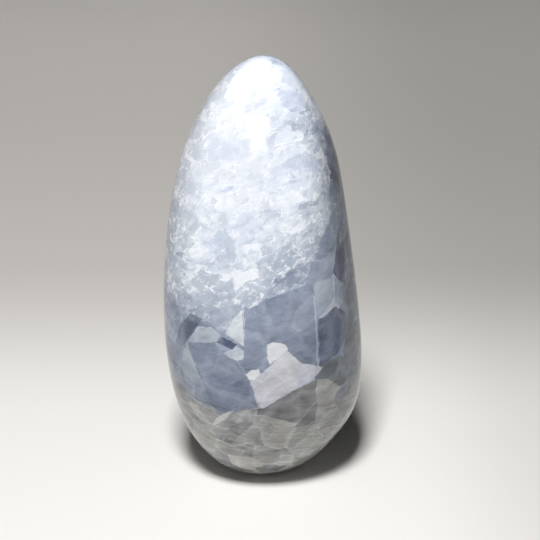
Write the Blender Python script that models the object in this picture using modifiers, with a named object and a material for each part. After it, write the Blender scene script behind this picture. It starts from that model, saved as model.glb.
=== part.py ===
"""Blue calcite freeform: one polished stone that stands on a small ground foot.

The stone is an egg of unequal sides, drawn out to its height, softly ground on a few
sides by hand, and cut flat underneath. The foot's centre is the origin and +Z is up.
"""
import math

import bmesh
import bpy
from mathutils import Vector

MM = 0.001
NAME = "calcite_freeform"

# The whole stone, in millimetres and degrees
HEIGHT = 160.0
FOOT_ANGLE = 164.8
LEAN_TO_RIGHT = 2.1
GRINDING_CENTRE = Vector((0.0, 0.0, 70.0))

# Half width of each side, its pear shape (below 0 is wider low down), and how full its ends are
RIGHT_SIDE = (34.1, -0.365, 0.40)
LEFT_SIDE = (36.2, -0.08, 0.195)
FRONT_SIDE = (32.0, -0.15, 0.10)
BACK_SIDE = (33.0, -0.20, 0.10)

# Each ground flat: azimuth from the front towards the right, elevation, distance from the
# grinding centre in millimetres, and the softness of its edge in millimetres
GROUND_FLATS = {
    "right shoulder": (100.0, 33.5, 57.1, 4.0),
    "left shoulder": (-80.0, 35.1, 59.2, 4.0),
    "lower right": (75.0, -39.4, 58.5, 4.0),
    "right cheek": (72.0, 7.0, 33.5, 3.0),
    "front face": (-6.0, 12.0, 31.0, 4.0),
    "back face": (165.0, 6.0, 31.5, 4.0),
    "left back": (-130.0, 10.0, 33.0, 4.0),
}

# The cage that carries the form
CELLS_ACROSS = 10
CELLS_UP = 20
RIM_BEVEL = 1.0
RIM_BEVEL_SEGMENTS = 2
RIM_ANGLE = 20.0

# The stone's finish
STONE_COLOUR = (0.50, 0.55, 0.65, 1.0)
STONE_ROUGHNESS = 0.12


def clear_scene():
    """Remove whatever the new file starts with."""
    for thing in list(bpy.data.objects):
        bpy.data.objects.remove(thing, do_unlink=True)


def calcite_material():
    """Pale blue polished calcite."""
    material = bpy.data.materials.new("polished blue calcite")
    material.use_nodes = True
    shader = material.node_tree.nodes["Principled BSDF"]
    shader.inputs["Base Color"].default_value = STONE_COLOUR
    shader.inputs["Roughness"].default_value = STONE_ROUGHNESS
    shader.inputs["Metallic"].default_value = 0.0
    return material


def cube_cage():
    """A cube primitive from -1 to 1, cut into CELLS_ACROSS by CELLS_ACROSS by CELLS_UP cells."""
    cage = bmesh.new()
    bmesh.ops.create_cube(cage, size=2.0)
    upright = [edge for edge in cage.edges if abs(edge.verts[0].co.z - edge.verts[1].co.z) > 1.0]
    bmesh.ops.subdivide_edges(cage, edges=upright, cuts=CELLS_UP - 1, use_grid_fill=True)
    level = [edge for edge in cage.edges if abs(edge.verts[0].co.z - edge.verts[1].co.z) < 1e-6]
    bmesh.ops.subdivide_edges(cage, edges=level, cuts=CELLS_ACROSS - 1, use_grid_fill=True)
    return cage


def half_width(side, polar):
    """How far one side reaches from the axis at a polar angle from the stone's tip."""
    width, pear, ends = side
    height = math.cos(polar)
    return width * math.sin(polar) * (1.0 + pear * height + ends * height * height)


def egg_point(around, polar):
    """The egg's surface before grinding, in millimetres, with its foot at z = 0."""
    foot = math.cos(math.radians(FOOT_ANGLE))
    z = HEIGHT * (math.cos(polar) - foot) / (1.0 - foot)
    right, left = half_width(RIGHT_SIDE, polar), half_width(LEFT_SIDE, polar)
    front, back = half_width(FRONT_SIDE, polar), half_width(BACK_SIDE, polar)
    across, along = math.cos(around), math.sin(around)
    x = across * ((right + left) / 2.0 + (right - left) / 2.0 * across)
    y = along * ((back + front) / 2.0 + (back - front) / 2.0 * along)
    return Vector((x + LEAN_TO_RIGHT * z / HEIGHT, y, z))


def ground(point):
    """The point after every flat has been ground, each with a soft edge."""
    for azimuth, elevation, distance, softness in GROUND_FLATS.values():
        azimuth, elevation = math.radians(azimuth), math.radians(elevation)
        outward = Vector((math.sin(azimuth) * math.cos(elevation),
                          -math.cos(azimuth) * math.cos(elevation),
                          math.sin(elevation)))
        proud = (point - GRINDING_CENTRE).dot(outward) - distance
        point = point - outward * (proud + math.hypot(proud, softness)) / 2.0
    return point


def stone_point(cube_point):
    """Where a point of the cube cage lands on the stone."""
    x, y = (math.tan(math.pi / 4.0 * value) for value in cube_point.xy)
    around = math.atan2(y, x)
    reach = max(abs(x), abs(y))
    rim_polar = math.pi - math.atan(math.hypot(x, y) / reach) if reach else math.pi
    foot_polar = math.radians(FOOT_ANGLE)
    on_the_foot = cube_point.z < -1.0 + 1e-6
    if on_the_foot:
        rim = ground(egg_point(around, foot_polar))
        centre = ground(egg_point(0.0, math.pi))
        flat = centre.lerp(rim, max(abs(cube_point.x), abs(cube_point.y)))
        return Vector((flat.x, flat.y, 0.0))
    z = math.tan(math.pi / 4.0 * cube_point.z)
    polar = math.atan2(math.hypot(x, y), z) * foot_polar / rim_polar
    return ground(egg_point(around, polar))


def build_stone(collection, material):
    """The one solid: the shaped cage, smoothed, with the rim of its foot eased."""
    cage = cube_cage()
    crease = cage.edges.layers.float.new("crease_edge")
    for corner in cage.verts:
        corner.co = stone_point(corner.co)
    rim = [edge for edge in cage.edges if is_rim(edge)]
    for edge in rim:
        edge[crease] = 1.0
    rim_points = {corner for edge in rim for corner in edge.verts}
    foot_centre = sum((corner.co for corner in rim_points), Vector()) / len(rim_points)
    for corner in cage.verts:
        corner.co = (corner.co - foot_centre) * MM
    bmesh.ops.recalc_face_normals(cage, faces=cage.faces)

    mesh = bpy.data.meshes.new(NAME)
    cage.to_mesh(mesh)
    cage.free()
    mesh.materials.append(material)
    mesh.shade_smooth()
    stone = bpy.data.objects.new(NAME, mesh)
    collection.objects.link(stone)

    smooth = stone.modifiers.new("smooth form", "SUBSURF")
    smooth.levels = 1
    smooth.render_levels = 1
    ease = stone.modifiers.new("eased rim", "BEVEL")
    ease.width = RIM_BEVEL * MM
    ease.segments = RIM_BEVEL_SEGMENTS
    ease.limit_method = "ANGLE"
    ease.angle_limit = math.radians(RIM_ANGLE)
    return stone


def is_rim(edge):
    """True for an edge between the flat foot and the rounded side."""
    on_foot = [all(abs(corner.co.z) < 1e-6 for corner in face.verts) for face in edge.link_faces]
    return on_foot.count(True) == 1


def main():
    clear_scene()
    collection = bpy.data.collections.new("blue_calcite_freeform")
    bpy.context.scene.collection.children.link(collection)
    build_stone(collection, calcite_material())


main()
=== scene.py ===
"""Looks for the blue calcite freeform: its polished crystal surface, floor, light and camera."""

import math
from collections import namedtuple
from types import SimpleNamespace

import bpy
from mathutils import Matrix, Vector


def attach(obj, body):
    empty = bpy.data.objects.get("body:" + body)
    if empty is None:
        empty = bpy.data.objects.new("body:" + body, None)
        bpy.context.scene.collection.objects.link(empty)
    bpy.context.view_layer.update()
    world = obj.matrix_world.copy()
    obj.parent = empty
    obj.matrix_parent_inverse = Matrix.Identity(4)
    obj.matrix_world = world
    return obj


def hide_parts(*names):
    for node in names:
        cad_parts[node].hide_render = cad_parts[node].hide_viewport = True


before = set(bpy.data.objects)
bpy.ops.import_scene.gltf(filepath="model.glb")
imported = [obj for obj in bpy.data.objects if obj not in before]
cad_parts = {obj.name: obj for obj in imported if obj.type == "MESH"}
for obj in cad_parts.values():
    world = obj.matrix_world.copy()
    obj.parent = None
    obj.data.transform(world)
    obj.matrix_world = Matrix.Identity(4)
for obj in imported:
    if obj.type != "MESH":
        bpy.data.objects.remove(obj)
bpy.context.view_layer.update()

STONE_NODE = "calcite_freeform"
MM = 0.001

# Camera, set so that the stone's outline falls where the photograph has it
PHOTO_SIZE = 540
PHOTO_FOCAL_LENGTH = 1572.0
CAMERA_ELEVATION = math.radians(25.0)
CAMERA_DISTANCE = 560.0 * MM
CAMERA_AIM = Vector((2.7, 0.0, 78.9)) * MM
SENSOR_WIDTH = 36.0


def tone(red, green, blue):
    """A colour given on the 0 to 255 screen scale, as the shader's linear values."""
    def linear(value):
        value = value / 255.0
        return value / 12.92 if value <= 0.04045 else ((value + 0.055) / 1.055) ** 2.4
    return (linear(red), linear(green), linear(blue), 1.0)


# Calcite colours
SNOW = tone(246, 248, 253)
FROST = tone(223, 230, 241)
ICE = tone(209, 217, 234)
PALE_BLUE = tone(192, 203, 225)
MIST_GREY = tone(196, 202, 209)
PLATE_GREY = tone(203, 204, 211)
PLATE_SHADE = tone(192, 193, 201)
CHALK = tone(223, 225, 229)
SUGAR = tone(219, 225, 232)
LILAC_GREY = tone(198, 202, 215)
DULL_LILAC = tone(190, 191, 201)
DOVE = tone(170, 177, 186)
PALE_STEEL = tone(176, 187, 204)
LIGHT_STEEL = tone(164, 173, 189)
STEEL_BLUE = tone(139, 150, 171)
SLATE_BLUE = tone(123, 134, 156)
DEEP_SLATE = tone(103, 113, 135)
INDIGO = tone(62, 74, 110)
DUSK = tone(76, 86, 110)
SMOKE = tone(138, 139, 142)
ASH = tone(156, 156, 153)
WARM_GREY = tone(168, 168, 163)
SAND_GREY = tone(204, 202, 196)
DULL_GREY = tone(109, 107, 107)
SHADOW_GREY = tone(94, 94, 100)
MOSS_GREY = tone(92, 100, 105)

# A crystal that shows singly on the front: its corners in the photograph's pixels, in order round it,
# the colours it runs between, the direction of that run in degrees (0 is to the right, 90 is up), how
# solid it looks, and how bright the line round it is
# Two entries, marked where they stand, are painted light and shade on the foot rather than crystals
FrontCrystal = namedtuple("FrontCrystal", "corners near far run solid line")

FRONT_CRYSTALS = {
    "upper right lavender patch": FrontCrystal(
        ((297, 158), (316, 156), (318, 173), (300, 171)),
        ICE, PALE_BLUE, run=0, solid=0.55, line=0.14),
    "middle lavender patch": FrontCrystal(
        ((266, 169), (296, 162), (298, 171), (275, 178)),
        ICE, PALE_BLUE, run=20, solid=0.5, line=0),
    "upper smooth window": FrontCrystal(
        ((207, 136), (250, 138), (248, 156), (231, 162), (209, 158)),
        ICE, ICE, run=0, solid=0.4, line=0),
    "tip pale crystal": FrontCrystal(
        ((284, 61), (296, 72), (303, 86), (290, 89), (284, 83), (282, 73)),
        ICE, FROST, run=270, solid=0.6, line=0.3),
    "tip lower crystal": FrontCrystal(
        ((288, 90), (303, 92), (306, 105), (300, 113), (282, 106), (283, 93)),
        ICE, PALE_BLUE, run=200, solid=0.7, line=0.21),
    "left upper lens": FrontCrystal(
        ((218, 193), (226, 187), (236, 186), (228, 192)),
        PALE_BLUE, PALE_BLUE, run=0, solid=0.6, line=0),
    "left middle lens": FrontCrystal(
        ((209, 249), (213, 240), (224, 233), (229, 234), (222, 244)),
        PALE_BLUE, ICE, run=300, solid=0.75, line=0.21),
    "left small fleck": FrontCrystal(
        ((175, 254), (178, 251), (184, 253), (182, 258)),
        STEEL_BLUE, STEEL_BLUE, run=0, solid=0.8, line=0),
    "steep right shade": FrontCrystal(
        ((334, 200), (339, 262), (322, 288), (304, 286), (312, 262), (324, 232)),
        STEEL_BLUE, SLATE_BLUE, run=290, solid=0.75, line=0),
    "large middle crystal": FrontCrystal(
        ((243, 306), (266, 299), (289, 284), (315, 277), (318, 330), (318, 367)),
        SLATE_BLUE, SLATE_BLUE, run=60, solid=0.95, line=0),
    "large middle crystal foot": FrontCrystal(
        ((243, 306), (318, 330), (318, 367), (300, 372), (252, 384), (236, 359)),
        STEEL_BLUE, DEEP_SLATE, run=290, solid=0.95, line=0),
    "light inner crystal": FrontCrystal(
        ((295, 311), (313, 294), (316, 322), (304, 331), (298, 332), (291, 327)),
        STEEL_BLUE, LIGHT_STEEL, run=180, solid=0.6, line=0),
    "right of the line": FrontCrystal(
        ((314, 284), (332, 275), (335, 307), (328, 313), (318, 319), (315, 322)),
        LIGHT_STEEL, STEEL_BLUE, run=270, solid=0.9, line=0.1),
    "navy sliver": FrontCrystal(
        ((337, 237), (344, 249), (345, 284), (339, 282), (333, 272)),
        INDIGO, INDIGO, run=0, solid=0.95, line=0.2),
    "right edge crystal": FrontCrystal(
        ((334, 276), (346, 286), (348, 318), (345, 314), (335, 307)),
        STEEL_BLUE, SLATE_BLUE, run=0, solid=0.7, line=0.1),
    "indigo crystal": FrontCrystal(
        ((318, 320), (335, 306), (346, 312), (345, 338), (339, 352), (319, 367)),
        DUSK, INDIGO, run=0, solid=0.95, line=0.1),
    "far right crystal": FrontCrystal(
        ((346, 312), (355, 330), (356, 365), (350, 364), (339, 352), (345, 338)),
        SHADOW_GREY, DUSK, run=180, solid=0.85, line=0),
    "moss patch": FrontCrystal(
        ((314, 369), (339, 353), (353, 367), (351, 377), (338, 387), (316, 387)),
        MOSS_GREY, MOSS_GREY, run=0, solid=0.9, line=0),
    "blue grey shelf": FrontCrystal(
        ((209, 312), (226, 305), (242, 305), (239, 314), (225, 326), (211, 326)),
        LIGHT_STEEL, STEEL_BLUE, run=200, solid=0.85, line=0),
    "sparkling wedge": FrontCrystal(
        ((242, 305), (244, 346), (237, 342), (224, 332), (225, 326), (235, 317)),
        SUGAR, MIST_GREY, run=240, solid=0.95, line=0.14),
    "left dark wedge top": FrontCrystal(
        ((190, 313), (202, 319), (194, 331), (187, 339), (180, 325)),
        DUSK, DUSK, run=0, solid=0.9, line=0),
    "left dark wedge foot": FrontCrystal(
        ((180, 324), (194, 331), (187, 340), (183, 353), (179, 365), (175, 345)),
        DUSK, SLATE_BLUE, run=250, solid=0.85, line=0),
    "left large crystal": FrontCrystal(
        ((187, 341), (212, 342), (236, 360), (250, 382), (258, 407), (217, 414)),
        SLATE_BLUE, DEEP_SLATE, run=310, solid=0.97, line=0),
    "left large crystal foot": FrontCrystal(
        ((187, 341), (217, 414), (207, 407), (194, 408), (183, 372), (183, 353)),
        DOVE, SLATE_BLUE, run=290, solid=0.95, line=0),
    "left shaded corner": FrontCrystal(
        ((195, 383), (214, 386), (232, 409), (217, 413), (207, 407), (196, 406)),
        DUSK, SLATE_BLUE, run=60, solid=0.45, line=0),
    "left pale shoulder": FrontCrystal(
        ((202, 319), (211, 327), (221, 327), (224, 332), (216, 342), (187, 342)),
        MIST_GREY, LIGHT_STEEL, run=270, solid=0.85, line=0),
    "small dark rhomb": FrontCrystal(
        ((223, 337), (237, 344), (232, 350), (216, 342)),
        DUSK, INDIGO, run=0, solid=0.95, line=0),
    "pale wisp": FrontCrystal(
        ((222, 353), (237, 347), (244, 351), (243, 359), (236, 361), (230, 358)),
        MIST_GREY, LIGHT_STEEL, run=180, solid=0.8, line=0.21),
    "plate top": FrontCrystal(
        ((267, 345), (273, 342), (286, 345), (288, 350), (270, 365), (267, 358)),
        CHALK, PLATE_GREY, run=250, solid=0.95, line=0.21),
    "plate middle": FrontCrystal(
        ((288, 349), (302, 363), (310, 369), (290, 391), (268, 381), (268, 368)),
        PLATE_GREY, PLATE_SHADE, run=300, solid=0.95, line=0.1),
    "plate right": FrontCrystal(
        ((302, 363), (323, 367), (311, 381), (294, 390), (288, 392), (296, 378)),
        LILAC_GREY, DULL_LILAC, run=330, solid=0.9, line=0.1),
    "plate foot": FrontCrystal(
        ((250, 382), (268, 368), (291, 388), (285, 393), (272, 404), (261, 408)),
        PLATE_SHADE, DULL_LILAC, run=270, solid=0.95, line=0.17),
    "pale oval": FrontCrystal(
        ((246, 375), (251, 370), (259, 369), (260, 374), (255, 380), (249, 380)),
        CHALK, CHALK, run=0, solid=0.9, line=0.14),
    "purple wedge": FrontCrystal(
        ((264, 408), (294, 390), (316, 380), (317, 399), (297, 423), (262, 415)),
        SHADOW_GREY, DULL_GREY, run=20, solid=0.9, line=0),
    "small dark wedge": FrontCrystal(
        ((258, 409), (266, 407), (263, 415), (257, 415)),
        SHADOW_GREY, SHADOW_GREY, run=0, solid=0.9, line=0),
    "dark triangle": FrontCrystal(
        ((317, 400), (316, 420), (305, 426), (294, 427)),
        SHADOW_GREY, SHADOW_GREY, run=0, solid=0.85, line=0),
    "lower right plate": FrontCrystal(
        ((316.5, 386), (339, 386), (333, 402), (316, 424)),
        ASH, SMOKE, run=250, solid=0.9, line=0.24),
    "lower right lens": FrontCrystal(
        ((317, 379), (329, 379), (338, 386), (317, 386)),
        ASH, ASH, run=0, solid=0.85, line=0.14),
    "left foot pale patch": FrontCrystal(
        ((188, 391), (197, 405), (216, 414), (211, 424), (200, 421), (190, 405)),
        SAND_GREY, WARM_GREY, run=270, solid=0.8, line=0.15),
    # Painted light: the foot's front lit by the bright floor in front of it
    "foot front painted floor light": FrontCrystal(
        ((228, 454), (250, 457), (263, 462), (262, 469), (246, 470), (232, 464)),
        SAND_GREY, WARM_GREY, run=0, solid=0.6, line=0),
    "foot left facet": FrontCrystal(
        ((196, 425), (213, 424), (228, 430), (222, 441), (205, 436)),
        ASH, SMOKE, run=300, solid=0.55, line=0.3),
    "foot lower left facet": FrontCrystal(
        ((207, 433), (224, 442), (246, 449), (240, 458), (222, 452)),
        WARM_GREY, ASH, run=270, solid=0.55, line=0.4),
    "foot right facet": FrontCrystal(
        ((291, 432), (316, 424), (322, 436), (306, 450), (284, 447)),
        ASH, WARM_GREY, run=0, solid=0.5, line=0.25),
    "foot lower right facet": FrontCrystal(
        ((262, 443), (290, 434), (284, 448), (306, 451), (290, 462), (262, 458)),
        SMOKE, ASH, run=300, solid=0.45, line=0.25),
    "foot pale right facet": FrontCrystal(
        ((317, 424), (334, 402), (342, 414), (334, 432), (322, 437)),
        WARM_GREY, ASH, run=290, solid=0.5, line=0.3),
    "foot pale triangle": FrontCrystal(
        ((211, 426), (220, 415), (234, 410), (223, 421)),
        SAND_GREY, SAND_GREY, run=0, solid=0.85, line=0.14),
    "foot shaded patch": FrontCrystal(
        ((228, 428), (245, 420), (259, 421), (247, 430), (241, 438)),
        DULL_GREY, DULL_GREY, run=0, solid=0.7, line=0),
    "foot middle plate": FrontCrystal(
        ((229, 446), (247, 430), (262, 419), (290, 432), (262, 441), (247, 451)),
        WARM_GREY, ASH, run=0, solid=0.5, line=0.21),
    # Painted reflection of the shadow on the floor under the foot, not a crystal
    "foot painted shadow reflection": FrontCrystal(
        ((253, 468), (268, 465), (288, 465), (277, 471), (262, 472)),
        SHADOW_GREY, SHADOW_GREY, run=0, solid=0.8, line=0.21),
    "white seam": FrontCrystal(
        ((313.4, 296), (314.8, 296), (316.8, 325), (318.4, 366), (317, 366), (315.4, 325)),
        FROST, PALE_STEEL, run=270, solid=0.55, line=0),
    "upright seam": FrontCrystal(
        ((242.6, 306), (243.8, 306), (245.2, 345), (246.4, 356), (245, 356), (243.8, 345)),
        SUGAR, PALE_STEEL, run=270, solid=0.7, line=0),
}
MOST_SIDES = 6

# Millimetres along the stone's girth for each degree round it
GIRTH_PER_DEGREE = 0.56

# Degrees by which the calcite's beds rise to the right
BED_RISE = 28.0

# Crystal sizes in millimetres
LARGE_CRYSTAL = 21.0
VEILED_CRYSTAL = 13.0
MIDDLE_CRYSTAL = 5.5
SMALL_CRYSTAL = 1.9

# Zones of the stone, each from where it starts to where it is full. Turns are degrees round the stone,
# from the front towards the right, and heights are millimetres above the floor.
FROST_EDGE_TURNS = (-20.0, 50.0)
FROST_EDGE_HEIGHTS = (74.0, 97.0)
FROST_OVER_EDGE = (-7.0, 6.0)
FROST_LEFT_OF_FLANK = (80.0, 46.0)
FROST_BEYOND_FLANK = (140.0, 165.0)
FROST_TIP_HEIGHTS = (126.0, 142.0)
# Where the frost greys towards the right side: painted shade
FLANK_SIDE_TURNS = (34.0, 62.0)
FLANK_SIDE_HEIGHTS = (150.0, 128.0)
# The right side, darker blue: partly the crystals' own dark blue, partly painted shade
FLANK_TURNS = (52.0, 70.0)
FLANK_BACK_TURNS = (150.0, 120.0)
GREY_FOOT_HEIGHTS = (50.0, 34.0)
LEFT_SIDE_TURNS = (-46.0, -70.0)
LEFT_BACK_TURNS = (-150.0, -120.0)
# The top on the lamp's side, whitened: painted light over the frost's own white
WHITE_AND_PAINTED_LIGHT_CAP_TURNS = (26.0, -6.0)
WHITE_AND_PAINTED_LIGHT_CAP_BACK_TURNS = (-160.0, -100.0)
WHITE_AND_PAINTED_LIGHT_CAP_HEIGHTS = (98.0, 128.0)
RIDGE_TURNS = (16.0, 34.0)
RIDGE_FLANK_TURNS = (76.0, 60.0)
RIDGE_HEIGHTS = (88.0, 106.0)

# Gloss of the polish
CALCITE_IOR = 1.50
POLISH_ROUGHNESS = (0.035, 0.075)

# Merging and smoothing of the CAD form
MERGE_DISTANCE = 0.01 * MM
QUAD_FACE_ANGLE = math.radians(40.0)
QUAD_SHAPE_ANGLE = math.radians(60.0)
SMOOTHING_LEVELS = 2

# Lamps, with places and sizes in metres
WHITE_LIGHT = (1.0, 1.0, 1.0)
WARM_LIGHT = (1.0, 0.98, 0.95)
STONE_MIDDLE = (0.0, 0.0, 0.08)
FAR_FLOOR = (-0.05, 0.64, 0.0)
ROOM_LIGHT = (0.80, 0.82, 0.85, 1.0)
ROOM_LIGHT_STRENGTH = 0.005

# The window that shines in the polish: each pane's middle along X, its middle height, width and height
WINDOW_DISTANCE = 0.80
WINDOW_PANES = (
    (-0.164, 0.365, 0.220, 0.040),
    (-0.174, 0.325, 0.188, 0.040),
    (-0.170, 0.285, 0.148, 0.040),
    (-0.158, 0.242, 0.077, 0.046),
)
WINDOW_WATTS_PER_SQUARE_METRE = 19.0

# Paper tones as linear values, darker behind the stone and to the right as painted shade, and the stretches
# over which they change along X and Y, in metres
PAPER_NEAR_LEFT = (0.90, 0.882, 0.846, 1.0)
PAPER_NEAR_RIGHT_PAINTED_SHADE = (0.778, 0.757, 0.72, 1.0)
PAPER_FAR_LEFT_PAINTED_SHADE = (0.635, 0.608, 0.582, 1.0)
PAPER_FAR_RIGHT_PAINTED_SHADE = (0.49, 0.478, 0.448, 1.0)
PAPER_NEAR_STRETCH = (0.05, 0.115)
PAPER_FAR_STRETCH = (-0.06, 0.13)
PAPER_BACK_STRETCH = (0.028, 0.180)
FLOOR_SIZE = 8.0


class Web:
    """Adds nodes to one tree. A value may be a number, a colour, a vector or another node's output."""

    def __init__(self, tree):
        self.tree = tree

    def add(self, kind, values=None, **settings):
        node = self.tree.nodes.new(kind)
        for name, setting in settings.items():
            setattr(node, name, setting)
        for socket, value in (values or {}).items():
            self.feed(node.inputs[socket], value)
        return node

    def feed(self, socket, value):
        if isinstance(value, bpy.types.NodeSocket):
            self.tree.links.new(value, socket)
        else:
            socket.default_value = value

    def math(self, operation, *values, clamp=False):
        node = self.add("ShaderNodeMath", dict(enumerate(values)), operation=operation, use_clamp=clamp)
        return node.outputs[0]

    def vector(self, operation, *values):
        node = self.add("ShaderNodeVectorMath", operation=operation)
        for place, value in enumerate(values):
            socket = "Scale" if operation == "SCALE" and place == 1 else place
            self.feed(node.inputs[socket], value)
        return node.outputs["Value" if operation == "DOT_PRODUCT" else "Vector"]

    def mix(self, share, first, second, blend="MIX"):
        node = self.add("ShaderNodeMix", data_type="RGBA", blend_type=blend, clamp_factor=True)
        self.feed(node.inputs["Factor"], share)
        self.feed(node.inputs[6], first)
        self.feed(node.inputs[7], second)
        return node.outputs[2]

    def fade(self, value, start, end, low=0.0, high=1.0, shape="SMOOTHSTEP"):
        """low where value is at start, high where it is at end."""
        values = {"Value": value, "From Min": start, "From Max": end, "To Min": low, "To Max": high}
        return self.add("ShaderNodeMapRange", values, interpolation_type=shape).outputs["Result"]

    def noise(self, place, size, detail=2.0, roughness=0.5, distortion=0.0):
        values = {"Vector": place, "Scale": 1.0 / size, "Detail": detail,
                  "Roughness": roughness, "Distortion": distortion}
        return self.add("ShaderNodeTexNoise", values)

    def group(self, tree, values=None):
        return self.add("ShaderNodeGroup", values, node_tree=tree)

    def drawn_out(self, place, rise, lengths):
        """Place with a pattern on it drawn out by lengths along X, Y and Z, after X is tilted up by rise."""
        values = {"Vector": place, "Rotation": (0.0, math.radians(-rise), 0.0), "Scale": lengths}
        return self.add("ShaderNodeMapping", values, vector_type="TEXTURE").outputs["Vector"]

    def grey(self, value):
        """A grey as light as value."""
        return self.add("ShaderNodeCombineXYZ", {0: value, 1: value, 2: value}).outputs[0]

    def shade(self, body, share, value):
        """The body made lighter where value is over one half, and darker where it is under."""
        return self.mix(share, body, self.grey(value), blend="SOFT_LIGHT")


def new_group(name, inputs, outputs):
    """An empty shader group with named sockets, and the web to fill it."""
    tree = bpy.data.node_groups.new(name, "ShaderNodeTree")
    for socket, (kind, start) in inputs.items():
        made = tree.interface.new_socket(name=socket, in_out="INPUT", socket_type=kind)
        made.default_value = start
    for socket, kind in outputs.items():
        tree.interface.new_socket(name=socket, in_out="OUTPUT", socket_type=kind)
    web = Web(tree)
    entry = web.add("NodeGroupInput").outputs
    leave = web.add("NodeGroupOutput").inputs
    return tree, web, entry, leave


FLOAT = "NodeSocketFloat"
VECTOR = "NodeSocketVector"


def mosaic_group():
    """Close-packed crystals: a tone, a tint, an inner ramp and the seat of each, and the way to its edge."""
    tree, web, entry, leave = new_group(
        "crystal mosaic",
        {"Place": (VECTOR, (0.0, 0.0, 0.0)), "Size": (FLOAT, 10.0), "Chip size": (FLOAT, 3.0),
         "Chipping": (FLOAT, 1.0), "Shift": (VECTOR, (0.0, 0.0, 0.0))},
        {"Tone": FLOAT, "Tint": FLOAT, "Ramp": FLOAT, "Edge": FLOAT, "Seat": VECTOR})
    place = web.vector("ADD", entry["Place"], entry["Shift"])
    chip_scale = web.math("DIVIDE", 1.0, entry["Chip size"])
    chips = web.add("ShaderNodeTexVoronoi", {"Vector": place, "Scale": chip_scale}, feature="F1")
    nudge = web.vector("SUBTRACT", chips.outputs["Color"], (0.5, 0.5, 0.5))
    place = web.vector("ADD", place, web.vector("SCALE", nudge, entry["Chipping"]))
    scale = web.math("DIVIDE", 1.0, entry["Size"])
    cells = web.add("ShaderNodeTexVoronoi", {"Vector": place, "Scale": scale}, feature="F1")
    edges = web.add("ShaderNodeTexVoronoi", {"Vector": place, "Scale": scale}, feature="DISTANCE_TO_EDGE")
    split = web.add("ShaderNodeSeparateXYZ", {0: cells.outputs["Color"]})
    leaning = web.vector("SUBTRACT", cells.outputs["Color"], (0.5, 0.5, 0.5))
    seat = cells.outputs["Position"]
    inside = web.vector("SUBTRACT", web.vector("SCALE", place, scale), web.vector("SCALE", seat, scale))
    web.feed(leave["Tone"], split.outputs["X"])
    web.feed(leave["Tint"], split.outputs["Y"])
    web.feed(leave["Ramp"], web.math("MULTIPLY_ADD", web.vector("DOT_PRODUCT", inside, leaning), 1.6, 0.5))
    web.feed(leave["Edge"], web.math("MULTIPLY", edges.outputs["Distance"], entry["Size"]))
    web.feed(leave["Seat"], web.vector("SUBTRACT", seat, entry["Shift"]))
    return tree


def chart_group():
    """Where a point is round the stone: degrees from the front towards the right, and its height."""
    tree, web, entry, leave = new_group(
        "stone chart", {"Place": (VECTOR, (0.0, 0.0, 0.0))},
        {"Around": FLOAT, "Height": FLOAT, "Chart": VECTOR})
    split = web.add("ShaderNodeSeparateXYZ", {0: entry["Place"]})
    front = web.math("MULTIPLY", split.outputs["Y"], -1.0)
    around = web.math("DEGREES", web.math("ARCTAN2", split.outputs["X"], front))
    girth = web.math("MULTIPLY", around, GIRTH_PER_DEGREE)
    chart = web.add("ShaderNodeCombineXYZ", {0: girth, 1: split.outputs["Z"], 2: 1.0}).outputs[0]
    web.feed(leave["Around"], around)
    web.feed(leave["Height"], split.outputs["Z"])
    web.feed(leave["Chart"], chart)
    return tree


def flat_crystal_group():
    """One crystal with straight sides: how far inside it a chart point is, in mm, and a run across it."""
    sides = {f"Side {number}": (VECTOR, (0.0, 0.0, 100.0)) for number in range(1, MOST_SIDES + 1)}
    tree, web, entry, leave = new_group(
        "flat crystal",
        {"Chart": (VECTOR, (0.0, 0.0, 1.0)), "Run": (VECTOR, (0.0, 0.0, 0.0)), **sides},
        {"Inside": FLOAT, "Run": FLOAT})
    inside = web.vector("DOT_PRODUCT", entry["Chart"], entry["Side 1"])
    for side in list(sides)[1:]:
        inside = web.math("MINIMUM", inside, web.vector("DOT_PRODUCT", entry["Chart"], entry[side]))
    web.feed(leave["Inside"], inside)
    web.feed(leave["Run"], web.vector("DOT_PRODUCT", entry["Chart"], entry["Run"]))
    return tree


def chart_point(stone, pixel):
    """The chart position, in mm, of the point of the stone that a pixel of the photograph shows."""
    camera = bpy.context.scene.camera
    column, row = pixel
    while True:
        aim = Vector(((column - PHOTO_SIZE / 2) / PHOTO_FOCAL_LENGTH,
                      (PHOTO_SIZE / 2 - row) / PHOTO_FOCAL_LENGTH, -1.0))
        hit, place, _, _ = stone.ray_cast(camera.location, camera.rotation_euler.to_matrix() @ aim)
        if hit:
            around = math.degrees(math.atan2(place.x, -place.y))
            return Vector((around * GIRTH_PER_DEGREE, place.z / MM))
        column += 1 if column < PHOTO_SIZE / 2 else -1


def crystal_planes(stone, corners, direction):
    """The sides of a crystal, and its run, as vectors to be multiplied with a chart point."""
    points = [chart_point(stone, corner) for corner in corners]
    middle = sum(points, Vector((0.0, 0.0))) / len(points)
    sides = []
    for start, end in zip(points, points[1:] + points[:1]):
        inward = Vector((start.y - end.y, end.x - start.x)).normalized()
        if inward.dot(middle - start) < 0.0:
            inward = -inward
        sides.append((inward.x, inward.y, -inward.dot(start)))
    way = Vector((math.cos(math.radians(direction)), math.sin(math.radians(direction))))
    reach = [way.dot(point) for point in points]
    length = max(reach) - min(reach)
    return sides, (way.x / length, way.y / length, -min(reach) / length)


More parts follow.
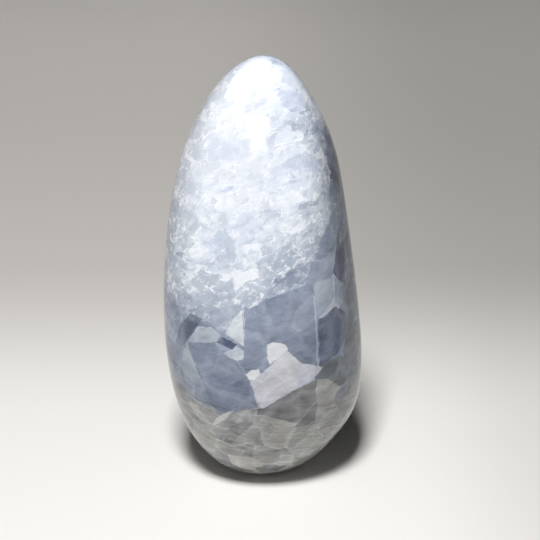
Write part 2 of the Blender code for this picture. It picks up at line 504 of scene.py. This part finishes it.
def add_camera():
    """A camera level with its sides, looking down along +Y at the stone."""
    data = bpy.data.cameras.new("camera")
    data.sensor_width = SENSOR_WIDTH
    data.lens = SENSOR_WIDTH * PHOTO_FOCAL_LENGTH / PHOTO_SIZE
    data.clip_start = 0.01
    camera = bpy.data.objects.new("camera", data)
    back = Vector((0.0, -math.cos(CAMERA_ELEVATION), math.sin(CAMERA_ELEVATION)))
    camera.location = CAMERA_AIM + back * CAMERA_DISTANCE
    camera.rotation_euler = (math.pi / 2.0 - CAMERA_ELEVATION, 0.0, 0.0)
    bpy.context.scene.collection.objects.link(camera)
    bpy.context.scene.camera = camera


def add_softbox(name, place, size, watts, colour=WHITE_LIGHT, aim=STONE_MIDDLE, spread=180.0):
    """A rectangular lamp that faces a point, the stone unless told otherwise."""
    data = bpy.data.lights.new(name, "AREA")
    data.shape = "RECTANGLE"
    data.size, data.size_y = size
    data.energy = watts
    data.color = colour
    data.spread = math.radians(spread)
    lamp = bpy.data.objects.new(name, data)
    lamp.location = place
    lamp.rotation_euler = (Vector(aim) - Vector(place)).to_track_quat("-Z", "Y").to_euler()
    lamp.visible_camera = False
    bpy.context.scene.collection.objects.link(lamp)


def add_lights():
    """A high lamp in front for the shadow, a faint softbox, the window, a lamp far behind and the room."""
    add_softbox("overhead lamp", (-0.088, -0.422, 1.03), (0.21, 0.21), 12.8)
    add_softbox("overhead softbox", (-0.12, -0.10, 0.62), (0.5, 0.5), 0.1)
    for along, middle, width, height in WINDOW_PANES:
        watts = WINDOW_WATTS_PER_SQUARE_METRE * width * height
        add_softbox("front window pane", (along, -WINDOW_DISTANCE, middle), (width, height), watts)
    add_softbox("far floor lamp", (-0.05, 0.64, 0.60), (1.4, 0.25), 0.50, WARM_LIGHT, FAR_FLOOR, spread=80.0)
    world = bpy.data.worlds.new("room light")
    world.use_nodes = True
    background = world.node_tree.nodes["Background"]
    background.inputs["Color"].default_value = ROOM_LIGHT
    background.inputs["Strength"].default_value = ROOM_LIGHT_STRENGTH
    bpy.context.scene.world = world


def floor_material():
    """Matt pale paper with painted shade that greys it behind the stone, and more so to the right."""
    material = bpy.data.materials.new("pale paper with painted shade")
    material.use_nodes = True
    web = Web(material.node_tree)
    shader = material.node_tree.nodes["Principled BSDF"]
    place = web.add("ShaderNodeSeparateXYZ", {0: web.add("ShaderNodeTexCoord").outputs["Object"]})
    # Painted shade: the paper greys towards the back and towards the right
    far = web.mix(web.fade(place.outputs["X"], *PAPER_FAR_STRETCH), PAPER_FAR_LEFT_PAINTED_SHADE, PAPER_FAR_RIGHT_PAINTED_SHADE)
    near = web.mix(web.fade(place.outputs["X"], *PAPER_NEAR_STRETCH), PAPER_NEAR_LEFT, PAPER_NEAR_RIGHT_PAINTED_SHADE)
    paper = web.mix(web.fade(place.outputs["Y"], *PAPER_BACK_STRETCH), near, far)
    web.feed(shader.inputs["Base Color"], paper)
    shader.inputs["Roughness"].default_value = 0.85
    shader.inputs["Specular IOR Level"].default_value = 0.2
    return material


def add_floor():
    bpy.ops.mesh.primitive_plane_add(size=FLOOR_SIZE, location=(0.0, 0.0, 0.0))
    floor = bpy.context.object
    floor.name = "floor"
    floor.data.materials.append(floor_material())


def crystal_fields(web, place):
    """The patterns that every zone of the stone is made of."""
    mosaic = mosaic_group()
    sway = web.vector("SUBTRACT", web.noise(place, 9.0, detail=3.0).outputs["Color"], (0.5, 0.5, 0.5))
    swayed = web.vector("ADD", place, web.vector("SCALE", sway, 5.0))
    # The beds rise from the lower left to the upper right, and crystals are drawn out along them
    bedded = web.drawn_out(swayed, BED_RISE, (1.9, 1.3, 1.0))
    hatched = web.drawn_out(swayed, BED_RISE + 4.0, (7.0, 3.0, 1.0))
    layered = web.drawn_out(swayed, -8.0, (9.0, 9.0, 1.0))
    fields = SimpleNamespace(bedded=bedded)
    fields.large = web.group(mosaic, {"Place": place, "Size": LARGE_CRYSTAL, "Chip size": 5.0,
                                      "Chipping": 1.6}).outputs
    fields.veiled = web.group(mosaic, {"Place": place, "Size": VEILED_CRYSTAL, "Chip size": 3.0,
                                       "Chipping": 0.8, "Shift": (31.0, 7.0, 19.0)}).outputs
    fields.middle = web.group(mosaic, {"Place": bedded, "Size": MIDDLE_CRYSTAL, "Chip size": 1.8,
                                       "Chipping": 1.1}).outputs
    fields.small = web.group(mosaic, {"Place": bedded, "Size": SMALL_CRYSTAL, "Chip size": 0.8,
                                      "Chipping": 0.5, "Shift": (3.0, 11.0, 5.0)}).outputs
    fields.clouds = web.noise(bedded, 16.0, detail=4.0, roughness=0.55, distortion=0.6).outputs["Fac"]
    fields.haze = web.noise(bedded, 3.6, detail=7.0, roughness=0.66, distortion=0.4).outputs["Fac"]
    fields.hatch = web.noise(hatched, 0.8, detail=4.0, roughness=0.65).outputs["Fac"]
    fields.streaks = web.noise(layered, 1.3, detail=4.0, roughness=0.6).outputs["Fac"]
    fields.grit = web.noise(place, 0.7, detail=2.0, roughness=0.6).outputs["Fac"]
    fields.broken = web.fade(web.noise(place, 3.4, detail=2.0).outputs["Fac"], 0.46, 0.60)
    return fields


def blend_values(web, *parts):
    """One half, plus each value's distance from one half times its weight."""
    total = 0.5
    for value, weight in parts:
        total = web.math("MULTIPLY_ADD", web.math("SUBTRACT", value, 0.5), weight, total)
    return total


def overlap(web, *limits):
    """Where every value is past its start, fading in up to where it is full."""
    share = 1.0
    for value, (start, full) in limits:
        share = web.math("MULTIPLY", web.fade(value, start, full), share)
    return share


def stone_zones(web, place, fields, chart):
    """Where the frosted mass, the clear crystals and the grey foot are, as shares from 0 to 1."""
    zones = SimpleNamespace()
    ragged = web.vector("SUBTRACT", fields.middle["Seat"], fields.bedded)
    ragged = web.vector("ADD", place, web.vector("SCALE", ragged, 0.5))
    spot = web.group(chart, {"Place": ragged}).outputs
    around, height = spot["Around"], spot["Height"]
    height = web.math("MULTIPLY_ADD", web.math("SUBTRACT", fields.haze, 0.5), 22.0, height)
    lower_edge = web.fade(around, *FROST_EDGE_TURNS, *FROST_EDGE_HEIGHTS)
    zones.over_edge = web.math("SUBTRACT", height, lower_edge)
    above = web.fade(zones.over_edge, *FROST_OVER_EDGE)
    left_of_flank = web.fade(around, *FROST_LEFT_OF_FLANK)
    beyond_flank = web.fade(around, *FROST_BEYOND_FLANK)
    tip = web.fade(height, *FROST_TIP_HEIGHTS)
    reach = web.math("MAXIMUM", tip, web.math("ADD", left_of_flank, beyond_flank, clamp=True))
    zones.frosted = web.math("MULTIPLY", above, reach)
    zones.low_down = web.fade(height, *GREY_FOOT_HEIGHTS)
    zones.flank = overlap(web, (around, FLANK_TURNS), (around, FLANK_BACK_TURNS))
    zones.flank_side = overlap(web, (around, FLANK_SIDE_TURNS), (height, FLANK_SIDE_HEIGHTS))
    zones.left_side = overlap(web, (around, LEFT_SIDE_TURNS), (around, LEFT_BACK_TURNS))
    zones.white_cap = overlap(web, (around, WHITE_AND_PAINTED_LIGHT_CAP_TURNS), (around, WHITE_AND_PAINTED_LIGHT_CAP_BACK_TURNS),
                              (height, WHITE_AND_PAINTED_LIGHT_CAP_HEIGHTS))
    zones.ridge = overlap(web, (around, RIDGE_TURNS), (around, RIDGE_FLANK_TURNS), (height, RIDGE_HEIGHTS))
    return zones


def frosted_colour(web, fields, zones):
    """Lavender white sugar of small grains, which thins towards its lower edge and greys towards the left
    side; its greying towards the right side is painted shade, and its whiter top is painted light.
    """
    sugar = blend_values(web, (fields.veiled["Ramp"], 0.35), (fields.middle["Ramp"], 0.60),
                         (fields.middle["Tone"], 0.40), (fields.small["Ramp"], 0.50),
                         (fields.small["Tone"], 0.30), (fields.haze, 0.35), (fields.hatch, 0.35))
    frost = web.mix(web.fade(fields.clouds, 0.40, 0.64, 0.0, 0.6), FROST, ICE)
    # Greyer towards the lower edge where the frost thins, towards the left side, and towards the right side
    # as painted shade
    thinning_and_painted_shade = web.math("MAXIMUM", web.fade(zones.over_edge, 27.0, 0.0, 0.0, 0.95),
                    web.math("MAXIMUM", web.math("MULTIPLY", zones.left_side, 0.90),
                             web.math("MULTIPLY", zones.flank_side, 0.80)))
    frost = web.mix(thinning_and_painted_shade, frost, LIGHT_STEEL)
    frost = web.mix(web.fade(sugar, 0.50, 0.05, 0.0, 0.42), frost, LIGHT_STEEL)
    frost = web.mix(web.fade(sugar, 0.50, 0.95, 0.0, 0.70), frost, SNOW)
    crackle = web.math("MULTIPLY", web.fade(fields.middle["Edge"], 0.24, 0.04), fields.broken)
    frost = web.mix(web.math("MULTIPLY", crackle, 0.80), frost, SNOW)
    fine_crackle = web.math("MULTIPLY", web.fade(fields.small["Edge"], 0.20, 0.03), fields.broken)
    frost = web.mix(web.math("MULTIPLY", fine_crackle, 0.50), frost, SNOW)
    fracture = web.math("MULTIPLY", web.fade(fields.small["Tone"], 0.6, 0.95, 0.0, 0.5), zones.ridge)
    frost = web.mix(fracture, frost, SLATE_BLUE)
    # Painted light: the top whitened on the side towards the lamp
    return web.mix(web.math("MULTIPLY", zones.white_cap, 0.36), frost, SNOW)


def clear_colour(web, fields, zones):
    """Clear blue crystals, which turn grey towards the foot and darker towards the right side, partly their
    own dark blue and partly painted shade.
    """
    large, veiled = fields.large, fields.veiled
    blue = web.mix(large["Tone"], STEEL_BLUE, SLATE_BLUE)
    blue = web.mix(web.fade(large["Tint"], 0.74, 0.80, 0.0, 0.7), blue, INDIGO)
    blue = web.mix(web.fade(large["Tint"], 0.26, 0.20, 0.0, 0.7), blue, LILAC_GREY)
    blue = web.mix(web.fade(veiled["Tint"], 0.30, 0.24, 0.0, 0.45), blue, PALE_STEEL)
    # Darker blue on the right side: partly the crystals' own dark blue, partly painted shade where it turns
    # from the lamp
    blue = web.mix(web.math("MULTIPLY", zones.flank, 0.60), blue, DUSK)
    grey = web.mix(veiled["Tone"], SMOKE, ASH)
    grey = web.mix(web.fade(large["Ramp"], 0.2, 0.8, 0.0, 0.4), grey, WARM_GREY)
    grey = web.mix(web.fade(large["Tint"], 0.74, 0.80, 0.0, 0.5), grey, SHADOW_GREY)
    clear = web.mix(zones.low_down, blue, grey)
    crack = web.math("MULTIPLY", web.fade(large["Edge"], 0.32, 0.06), fields.broken)
    crack = web.math("MULTIPLY", crack, web.math("MULTIPLY_ADD", zones.low_down, -0.35, 0.4))
    return web.mix(crack, clear, FROST)


def add_front_crystals(web, body, place, fields, chart, stone):
    """The body with the front's own crystals, whose sides are uneven, and where they cover it."""
    flat_crystal = flat_crystal_group()
    stir = web.vector("SUBTRACT", web.noise(place, 2.4, detail=3.0).outputs["Color"], (0.5, 0.5, 0.5))
    # Each small grain moves the sides by its own amount. That ties the sides to the mosaics, so the
    # renderer works them out after the body, one crystal at a time, and doesn't run out of room for them.
    stir_reach = web.fade(fields.small["Tone"], 0.0, 1.0, 1.1, 1.5, shape="LINEAR")
    stirred = web.vector("ADD", place, web.vector("SCALE", stir, stir_reach))
    pinned = web.group(chart, {"Place": stirred}).outputs["Chart"]
    front_only = web.fade(web.add("ShaderNodeSeparateXYZ", {0: place}).outputs["Y"], 4.0, 0.0)
    rim_share = web.math("MULTIPLY", fields.broken, front_only)
    covered = 0.0
    for crystal in FRONT_CRYSTALS.values():
        sides, run = crystal_planes(stone, crystal.corners, crystal.run)
        planes = {f"Side {number}": side for number, side in enumerate(sides, 1)}
        shape = web.group(flat_crystal, {"Chart": pinned, "Run": run, **planes}).outputs
        colour = web.mix(shape["Run"], crystal.near, crystal.far)
        share = web.math("MULTIPLY", web.fade(shape["Inside"], -0.15, 0.20, 0.0, crystal.solid), front_only)
        body = web.mix(share, body, colour)
        covered = web.math("MAXIMUM", covered, share)
        if crystal.line:
            rim = web.fade(web.math("ABSOLUTE", shape["Inside"]), 0.36, 0.05, 0.0, crystal.line)
            body = web.mix(web.math("MULTIPLY", rim, rim_share), body, FROST)
    return body, covered


def calcite_material(stone):
    """Polished calcite: frosted beds, clear blue and grey crystals, and the front's own crystals."""
    material = bpy.data.materials.new("polished blue calcite")
    material.use_nodes = True
    web = Web(material.node_tree)
    shader = material.node_tree.nodes["Principled BSDF"]
    metres = web.add("ShaderNodeTexCoord").outputs["Object"]
    place = web.vector("SCALE", metres, 1.0 / MM)
    chart = chart_group()
    fields = crystal_fields(web, place)
    zones = stone_zones(web, place, fields, chart)

    body = web.mix(zones.frosted, clear_colour(web, fields, zones), frosted_colour(web, fields, zones))
    body, covered = add_front_crystals(web, body, place, fields, chart, stone)

    # Veils, cleavage planes and streaks that show inside the clear crystals
    planes = blend_values(web, (fields.large["Ramp"], 0.25), (fields.veiled["Ramp"], 0.45),
                          (fields.middle["Ramp"], 0.22))
    share = web.math("MAXIMUM", web.math("MAXIMUM", zones.frosted, covered),
                     web.math("MULTIPLY", zones.low_down, 0.5))
    body = web.shade(body, web.math("MULTIPLY_ADD", share, -0.7, 0.9), planes)
    body = web.shade(body, web.math("MULTIPLY_ADD", zones.frosted, -0.6, 0.95),
                     blend_values(web, (fields.haze, 0.75), (fields.streaks, 0.35), (fields.hatch, 0.15)))
    body = web.shade(body, web.math("MULTIPLY", zones.low_down, 0.8), fields.streaks)
    # The front's own crystals are mottled, however pale they are
    mottle = blend_values(web, (fields.haze, 1.0), (fields.hatch, 0.3), (fields.small["Ramp"], 0.15))
    mottle = web.fade(mottle, 0.25, 0.75, 0.88, 1.12, shape="LINEAR")
    body = web.mix(web.math("MULTIPLY", covered, 0.7), body, web.grey(mottle), blend="MULTIPLY")
    veil = web.fade(fields.veiled["Edge"], 0.0, 2.2, 0.12, 0.0)
    body = web.mix(veil, body, FROST)
    glint = web.math("MULTIPLY", web.fade(fields.grit, 0.62, 0.72), fields.broken)
    body = web.mix(web.math("MULTIPLY", glint, web.fade(zones.frosted, 0.0, 1.0, 0.12, 0.9)), body, SNOW)

    web.feed(shader.inputs["Base Color"], body)
    web.feed(shader.inputs["Roughness"], web.fade(fields.haze, 0.3, 0.7, *POLISH_ROUGHNESS))
    shader.inputs["IOR"].default_value = CALCITE_IOR
    return material


def add_stone():
    """The finished stone: the CAD solid's form, merged and smoothed."""
    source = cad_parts[STONE_NODE]
    stone = bpy.data.objects.new("polished_stone", source.data.copy())
    bpy.context.scene.collection.objects.link(stone)
    bpy.ops.object.select_all(action="DESELECT")
    stone.select_set(True)
    bpy.context.view_layer.objects.active = stone
    bpy.ops.object.mode_set(mode="EDIT")
    bpy.ops.mesh.select_all(action="SELECT")
    bpy.ops.mesh.remove_doubles(threshold=MERGE_DISTANCE)
    bpy.ops.mesh.tris_convert_to_quads(face_threshold=QUAD_FACE_ANGLE, shape_threshold=QUAD_SHAPE_ANGLE)
    bpy.ops.object.mode_set(mode="OBJECT")
    smooth = stone.modifiers.new("smooth form", "SUBSURF")
    smooth.levels = SMOOTHING_LEVELS
    smooth.render_levels = SMOOTHING_LEVELS
    bpy.ops.object.modifier_apply(modifier=smooth.name)
    bpy.ops.object.shade_smooth()
    stone.data.materials.clear()
    stone.data.materials.append(calcite_material(stone))
    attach(stone, "root")
    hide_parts(STONE_NODE)


bpy.ops.object.select_all(action="DESELECT")
add_camera()
add_lights()
add_floor()
add_stone()
bpy.context.scene.view_settings.view_transform = "Standard"
